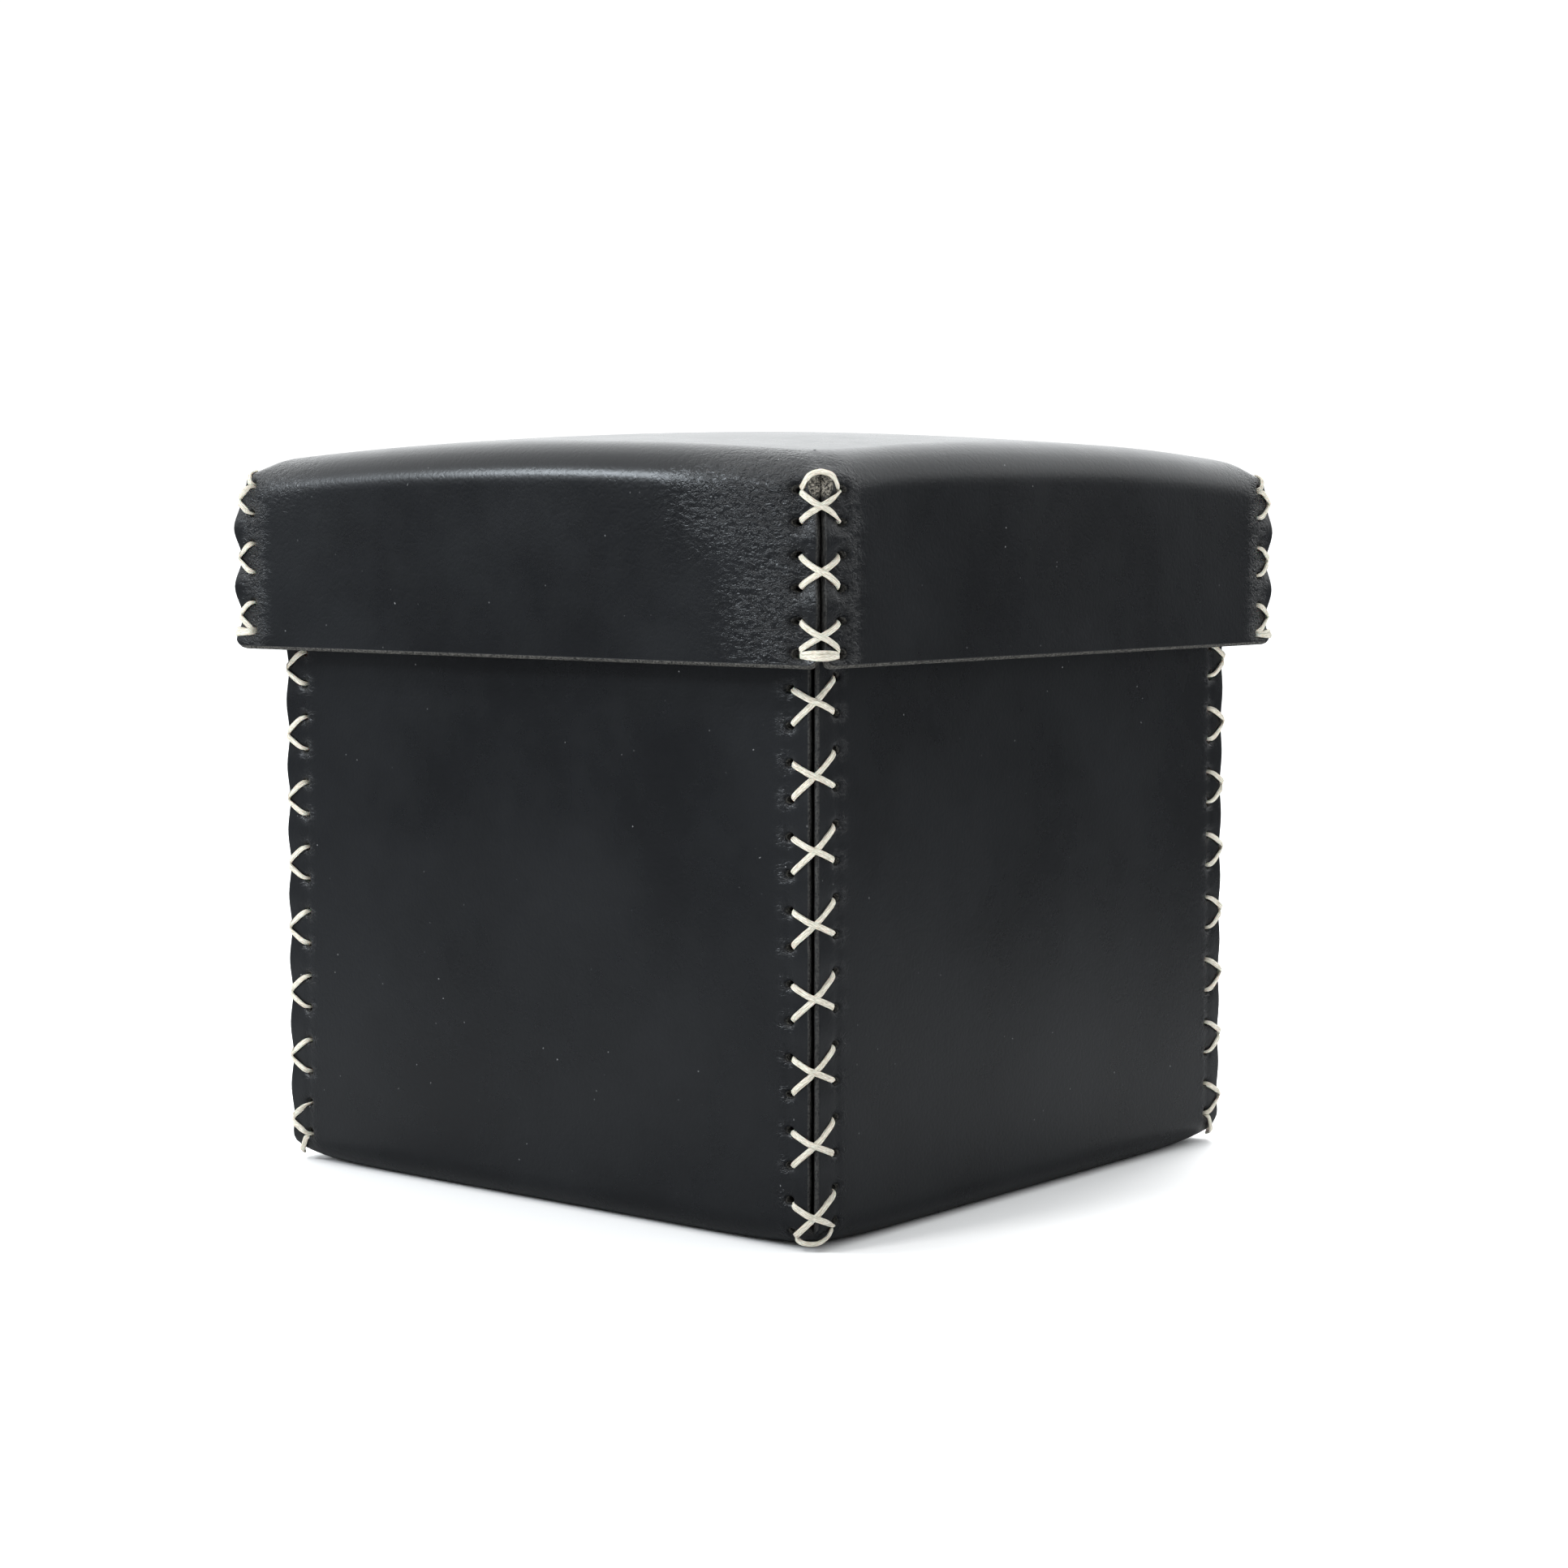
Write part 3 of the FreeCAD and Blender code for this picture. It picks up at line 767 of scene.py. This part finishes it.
class Cord:
    """The way one half of a lacing cord takes, as places on the folded leather."""

    def __init__(self, blank, corner, side):
        self.blank = blank
        self.corner = corner
        self.side = side
        self.points = []
        self.normals = []
        self.narrow = []

    def put(self, side, s, q, depth, narrow=1.0):
        wall = np.array([self.corner if side > 0 else (self.corner + 1) % 4])
        point, normal = self.blank.place(wall, np.array([side]), np.array([float(s)]),
                                         np.array([float(q)]), np.array([float(depth)]), flap_corners=False)
        self.points.append(point[0])
        self.normals.append(normal[0])
        self.narrow.append(narrow)

    def level(self, side, number, lane=0.0):
        return float(self.blank.hole_level(self.corner, side, number)) - lane

    def through(self, side, q, inward, slope=0.0):
        """Down a hole, or up again."""
        for s, depth, narrow in HOLE_WAY if inward else HOLE_WAY[::-1]:
            self.put(side, s, q + slope * max(CORD_IN - s, 0), depth, narrow)

    def leg(self, side, start, finish, lift):
        """Over the seam on the outside, from one side to the other."""
        for across in np.linspace(-LEG_REACH, LEG_REACH, 25):
            s = abs(across)
            if s < SEAM_CLEAR:
                continue
            raised = lift * hump(across, 0, 3.0) - 0.12 * hump(across, 0, 2.0)
            t = 0.5 + 0.5 * across / CORD_IN
            self.put(side if across < 0 else -side, s, start + (finish - start) * t, -ABOVE - raised)

    def cross(self, side, start, finish):
        over = finish > start if side > 0 else finish < start
        over = over if self.blank.way < 0 else not over
        slope = (finish - start) / (2 * CORD_IN)
        self.through(side, start, False, slope)
        self.leg(side, start, finish, OVER if over else 0.0)
        self.through(-side, finish, True, -slope)

    def inside(self, side, start, finish):
        for t in (0.3, 0.5, 0.7):
            self.put(side, INSIDE_RUN, start + (finish - start) * t, UNDER_SIDE + 0.05)

    def run(self, loop_level):
        side = self.side
        last = 2 * self.blank.crosses - 1
        top = self.level(side, 0, -0.5 * LANE)
        spring = top + self.blank.arch_lift
        reach = LOOP_REACH - 0.6 * self.blank.arch_lift
        for t in np.linspace(0.0, 1.0, 11)[:-1]:
            self.put(side, reach * t, spring + (loop_level - spring) * math.sqrt(1 - t * t), -ABOVE)
        self.through(side, top, True)
        self.inside(side, top, self.level(side, 1))
        start, finish = self.level(side, 1), self.level(-side, 0, 0.5 * LANE)
        for number in range(self.blank.crosses):
            self.cross(side, start, finish)
            side = -side
            if number == self.blank.crosses - 1:
                break
            below = self.level(side, 2 * number + 2)
            self.inside(side, finish, below)
            start = below
            lane = -LANE if number == self.blank.crosses - 2 else 0.0
            finish = self.level(-side, 2 * number + 3, lane)
        lane = 1.0 if self.side > 0 else 0.0
        here = self.level(side, last, 0.7 * LANE * lane)
        there = self.level(-side, last, 0.7 * LANE * lane)
        for s in TUCK:
            self.put(side, s, finish - 0.1 * (7 - s), UNDER_SIDE + 0.1)
        for s in TUCK[::-1]:
            self.put(-side, s, there, UNDER_SIDE + 0.1)
        self.through(-side, there, False)
        shift = (BAR_LANE - 0.7 * LANE) * (lane - 0.5)
        for t in np.linspace(0.0, 1.0, 21):
            across = (2 * t - 1) * LEG_REACH
            if abs(across) > SEAM_CLEAR:
                spread = shift * (1 - (across / 6.0) ** 2)
                self.put(-side if across < 0 else side, abs(across), there + (here - there) * t - spread,
                         -ABOVE, 1.02 - 0.25 * (across / LEG_REACH) ** 2)
        self.through(side, here, True)
        self.knot(side, here)
        return self

    def knot(self, side, level):
        """The tail runs on a little way inside and ends in an overhand knot."""
        self.put(side, TAIL_OUT, level + 0.3, UNDER_SIDE + 0.15)
        wall = np.array([self.corner if side > 0 else (self.corner + 1) % 4])
        out = KNOT_OUT - 1.5 * self.side * side
        at = level + (1.6 if self.side > 0 else 0.2)
        centre, normal = self.blank.place(wall, np.array([side]), np.array([out]), np.array([at]),
                                          np.array([LEATHER + 1.5]))
        normal = normal[0]
        up = np.array([0.0, 0.0, 1.0])
        along = np.cross(up, normal)
        for t in np.linspace(0.35, 2 * math.pi - 0.55, 60):
            x = KNOT_SIZE * (math.sin(t) + 2 * math.sin(2 * t)) / 3
            y = KNOT_SIZE * (math.cos(t) - 2 * math.cos(2 * t)) / 3
            z = KNOT_HIGH * math.sin(3 * t)
            self.points.append(centre[0] + along * x + up * y + normal * z)
            self.normals.append(normal)
            self.narrow.append(KNOT_NARROW)


def even_steps(points, others, step):
    """The same path with points at even steps, and the other values along with it."""
    length = np.concatenate([[0], np.cumsum(np.linalg.norm(np.diff(points, axis=0), axis=1))])
    count = int(length[-1] / step)
    at = np.linspace(0, length[-1], count + 1)
    line = np.stack([np.interp(at, length, points[:, k]) for k in range(3)], 1)
    rest = [np.stack([np.interp(at, length, part[:, k]) for k in range(part.shape[1])], 1)
            for part in others]
    return line, rest


def soften(values, reach):
    """A running average with soft ends; the two ends of the line stay where they are."""
    span = int(3 * reach)
    weight = np.exp(-0.5 * (np.arange(-span, span + 1) / reach) ** 2)
    weight /= weight.sum()
    padded = np.concatenate([np.repeat(values[:1], span, 0), values, np.repeat(values[-1:], span, 0)])
    return np.stack([np.convolve(padded[:, k], weight, "valid") for k in range(values.shape[1])], 1)


def cord_line(name, blank, corner, loop_level):
    """The middle line of one corner's cord, with the way its flat side faces."""
    halves = [Cord(blank, corner, side).run(loop_level) for side in (1, -1)]
    parts = [(np.array(half.points), np.array(half.normals), np.array(half.narrow)[:, None])
             for half in halves]
    join = [np.concatenate([part[::-1], other[1:]]) for part, other in zip(*parts)]
    line, (facing, narrow) = even_steps(join[0], join[1:], POINT_STEP)
    line = soften(line, 2.2)
    facing, narrow = soften(facing, 2.0), soften(narrow, 2.0)
    ahead = np.gradient(line, axis=0)
    ahead /= np.linalg.norm(ahead, axis=1)[:, None]
    lay = np.zeros_like(line)
    now = facing[0]
    for i, way in enumerate(ahead):
        now = now - way * (now @ way)
        now /= np.linalg.norm(now)
        aim = facing[i] - way * (facing[i] @ way)
        hold = 0.12 * np.linalg.norm(aim) ** 3
        aim *= 1 if aim @ now >= 0 else -1
        now = now + hold * aim
        now /= np.linalg.norm(now)
        lay[i] = now
    mesh = bpy.data.meshes.new(name)
    mesh.from_pydata(line * MM, [(i, i + 1) for i in range(len(line) - 1)], [])
    for key, kind, field, values in (("lay", "FLOAT_VECTOR", "vector", lay),
                                     ("narrow", "FLOAT", "value", narrow)):
        data = mesh.attributes.new(key, kind, "POINT").data
        data.foreach_set(field, values.astype(np.float32).ravel())
    piece = bpy.data.objects.new(name, mesh)
    scene.collection.objects.link(piece)
    return piece


def cord_tree():
    """Sweeps the cord's flat, ridged section along a line."""
    group = bpy.data.node_groups.new("flat_cord", "GeometryNodeTree")
    sockets = group.interface
    sockets.new_socket("Line", in_out="INPUT", socket_type="NodeSocketGeometry")
    for label, value in (("Width", CORD_WIDE * MM), ("Thickness", CORD_THICK * MM), ("Step", 0.4 * MM),
                         ("Ridges", 7.0), ("Ridge Depth", 0.09)):
        made = sockets.new_socket(label, in_out="INPUT", socket_type="NodeSocketFloat")
        made.default_value = value
    sockets.new_socket("Finish", in_out="INPUT", socket_type="NodeSocketMaterial")
    sockets.new_socket("Cord", in_out="OUTPUT", socket_type="NodeSocketGeometry")
    tree = Tree(group)
    given = tree.node("NodeGroupInput")
    value = {label: Wire(tree, given.outputs[label]) for label in
             ("Line", "Width", "Thickness", "Step", "Ridges", "Ridge Depth", "Finish")}

    def stored(name, kind):
        return tree.wire("GeometryNodeInputNamedAttribute", {"data_type": kind}, {"Name": name})

    curve = tree.wire("GeometryNodeMeshToCurve", None, {"Mesh": value["Line"]})
    curve = tree.wire("GeometryNodeResampleCurve", {"mode": "LENGTH"}, {
        "Curve": curve, "Length": value["Step"]})
    curve = tree.wire("GeometryNodeSetCurveNormal", {"mode": "FREE"}, {
        "Curve": curve, "Normal": stored("lay", "FLOAT_VECTOR")})
    run = tree.wire("GeometryNodeSplineParameter", output=1)
    curve = tree.wire("GeometryNodeStoreNamedAttribute", {"data_type": "FLOAT", "domain": "POINT"}, {
        "Geometry": curve, "Name": "along_cord", "Value": run})
    circle = tree.wire("GeometryNodeCurvePrimitiveCircle", {"mode": "RADIUS"}, {
        "Resolution": 28, "Radius": 1.0})
    place = tree.node("ShaderNodeSeparateXYZ", None, {0: tree.wire("GeometryNodeInputPosition")})
    cos, sin = Wire(tree, place.outputs[0]), Wire(tree, place.outputs[1])
    angle = sin.math("ARCTAN2", cos)
    ridge = (angle * value["Ridges"]).math("COSINE", 0.0)
    swell = ridge * value["Ridge Depth"] + 1
    wide = sin.math("SIGN", 0.0) * sin.math("ABSOLUTE", 0.0) ** 0.8
    thick = cos.math("SIGN", 0.0) * cos.math("ABSOLUTE", 0.0) ** 0.7
    flat = tree.wire("ShaderNodeCombineXYZ", None, {
        0: thick * value["Thickness"] * swell * 0.5, 1: wide * value["Width"] * swell * 0.5})
    circle = tree.wire("GeometryNodeStoreNamedAttribute", {"data_type": "FLOAT_VECTOR", "domain": "POINT"}, {
        "Geometry": circle, "Name": "round_cord",
        "Value": tree.wire("ShaderNodeCombineXYZ", None, {0: cos, 1: sin})})
    profile = tree.wire("GeometryNodeSetPosition", None, {"Geometry": circle, "Position": flat})
    swept = tree.wire("GeometryNodeCurveToMesh", None, {
        "Curve": curve, "Profile Curve": profile, "Fill Caps": True, "Scale": stored("narrow", "FLOAT")})
    even = tree.wire("GeometryNodeSetShadeSmooth", None, {"Geometry": swept})
    real = tree.wire("GeometryNodeRealizeInstances", None, {"Geometry": even})
    painted = tree.wire("GeometryNodeSetMaterial", None, {"Geometry": real, "Material": value["Finish"]})
    tree.node("NodeGroupOutput", None, {"Cord": painted})
    return group


CORD_PALE, CORD_SHADE = (0.78, 0.755, 0.66, 1), (0.3, 0.27, 0.205, 1)
# The groove colour below is painted shade, for the grooves between strands.
CORD_PAINTED_GROOVE_SHADE, CORD_GRIME = (0.27, 0.235, 0.175, 1), (0.42, 0.39, 0.34, 1)
CORD_GLOSS = 0.35


def cord_finish(name):
    """Off-white waxed cord: fine fibres along it, painted shade in the grooves between strands, and patches
    of grey wax and dirt.
    """
    finish = bpy.data.materials.new(name)
    finish.use_nodes = True
    tree = Tree(finish.node_tree)
    shader = tree.nodes["Principled BSDF"]
    along = tree.wire("ShaderNodeAttribute", {"attribute_name": "along_cord"}, output=2)
    around = tree.wire("ShaderNodeAttribute", {"attribute_name": "round_cord"}, output=1)
    spot = tree.wire("ShaderNodeTexCoord", output=3)
    thread = tree.wire("ShaderNodeVectorMath", {"operation": "ADD"}, {
        0: tree.place(around, (3.2, 3.2, 3.2)),
        1: tree.wire("ShaderNodeCombineXYZ", None, {2: along * 420.0})})
    fibre = tree.noise(thread, 2.2, 4.0, 0.65)
    strand = tree.noise(tree.place(thread, (1.0, 1.0, 0.25)), 1.3, 2.0, 0.5)
    grime = tree.noise(spot, 160.0, 3.0, 0.6)
    pale = tree.blend(tree.between(fibre, 0.3, 0.66), CORD_SHADE, CORD_PALE)
    # Painted shade: darker where the strand bump is low, in the grooves between strands.
    colour = tree.blend(tree.between(strand, 0.52, 0.3) * 0.65, pale, CORD_PAINTED_GROOVE_SHADE)
    colour = tree.blend(tree.between(grime, 0.5, 0.75) * 0.35, colour, CORD_GRIME)
    tree.links.new(colour.socket, shader.inputs["Base Color"])
    rough = 0.5 + fibre * 0.2
    tree.links.new(rough.socket, shader.inputs["Roughness"])
    shader.inputs["Specular IOR Level"].default_value = CORD_GLOSS
    shader.inputs["Subsurface Weight"].default_value = 0.12
    shader.inputs["Subsurface Scale"].default_value = 0.0006
    relief = fibre * 0.05 + strand * 0.07
    bump = tree.node("ShaderNodeBump", None, {"Strength": 1.0, "Distance": 0.001, "Height": relief})
    tree.links.new(bump.outputs[0], shader.inputs["Normal"])
    return finish


lacing_cord = cord_finish("lacing_cord")
flat_cord = cord_tree()


def lace(name, blank, corner, loop_level, body):
    """Lay the cord of one corner, and make it a plain mesh."""
    line = cord_line(name + "_line", blank, corner, loop_level)
    sweep = line.modifiers.new("sweep", "NODES")
    sweep.node_group = flat_cord
    sockets = {item.name: item.identifier for item in flat_cord.interface.items_tree}
    sweep[sockets["Finish"]] = lacing_cord
    made = line.evaluated_get(bpy.context.evaluated_depsgraph_get())
    mesh = bpy.data.meshes.new_from_object(made)
    line.modifiers.remove(sweep)
    bpy.data.objects.remove(line)
    mesh.name = name
    piece = bpy.data.objects.new(name, mesh)
    scene.collection.objects.link(piece)
    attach(piece, body)
    return piece


CORNER_NAMES = ("front_right", "back_right", "back_left", "front_left")
for corner, label in enumerate(CORNER_NAMES):
    cord = lace("body_cord_" + label, body_blank, corner, -1.5, "box")
    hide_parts("body_lacing_" + label)


# ---- The lid
# A second cross-shaped blank, one size larger: its top is slightly domed and its four
# skirts are folded down over the body. At the top of each corner seam the cut edges spread
# into a small shield-shaped opening, with the cord's arch running over it.
LID_HALF = 88.3
LID_EDGE = 121.4
LID_TOP = 171.8
LID_FOLD = 8.0
LID_DOME = 0.00052
LID_CORNERS = ((154.1, 6.6, 0.0), (155.2, 6.9, 0.0), (155.4, 6.7, 0.0), (156.2, 6.8, 0.0))
ARCH_ABOVE = 6.5
LID_LEFT_CUT = (1.9, 1.5, 1.2, 0.75, 0.35, 0.15, 0.08, 0.06)
LID_RIGHT_CUT = (1.6, 1.25, 1.0, 0.6, 0.25, 0.1, 0.06, 0.06)


def crown(x, y):
    return LID_TOP - LID_DOME * (x ** 2 + y ** 2)


def lid_hand(points, normals, seed):
    """The skirts and the crown are slightly uneven."""
    flat = np.abs(normals[:, 2])
    corner = np.hypot(LID_HALF - np.abs(points[:, 0]), LID_HALF - np.abs(points[:, 1]))
    calm = (0.3 - 0.22 * flat) * smooth(corner, 4.0, 24.0)
    return normals * (calm * waviness(points, 80.0, seed))[:, None]


lid_blank = Blank(
    half=LID_HALF, way=1, open_level=LID_EDGE, fold=LID_FOLD, dome=crown,
    corners=LID_CORNERS, crosses=3, gap=[{1: LID_LEFT_CUT, -1: LID_RIGHT_CUT}] * 4,
    closure=[first + ARCH_ABOVE for first, _, _ in LID_CORNERS],
    corner_round=7.5, scallop=((1.7, 1.6, 1.6, 1.8), (-5.1, 0.4)), opening=(5.0, 3.8, 2.0),
    dimple=((0.95, 2.1),) + ((0.35, 1.5),) * 3, strip=4.4, hole=((1.5, 0.8),) + ((1.0, 0.75),) * 3,
    arch_lift=1.5, tug=(1.0, 3.4), round_in=3.0, crease=0.03, creased=(
        ((74.0, -88.0, 157.0), (19.0, 12.0, 12.0), 0.55), ((76.0, -88.0, 133.0), (12.0, 9.0, 16.0), 0.4),
        ((66.0, -50.0, 168.0), (17.0, 24.0, 9.0), 0.16), ((-76.0, -80.0, 164.0), (14.0, 14.0, 9.0), 0.4),
        ((76.0, 80.0, 164.0), (14.0, 14.0, 9.0), 0.4), ((-76.0, 80.0, 164.0), (14.0, 14.0, 9.0), 0.4)))
lid_leather = lid_blank.build("lid_leather", 1, 17, lid_hand, 23)
lid_leather.data.materials.append(black_leather)
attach(lid_leather, "lid")
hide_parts("lid_shell")

# ---- The lid's lacing
# The same cord and the same route as in the body, with three Xs. The loop in the cord's
# middle is the arch over the opening at the top of the seam.
for corner, label in enumerate(CORNER_NAMES):
    cord = lace("lid_cord_" + label, lid_blank, corner, lid_blank.closure[corner] + 0.4, "lid")
    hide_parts("lid_lacing_" + label)
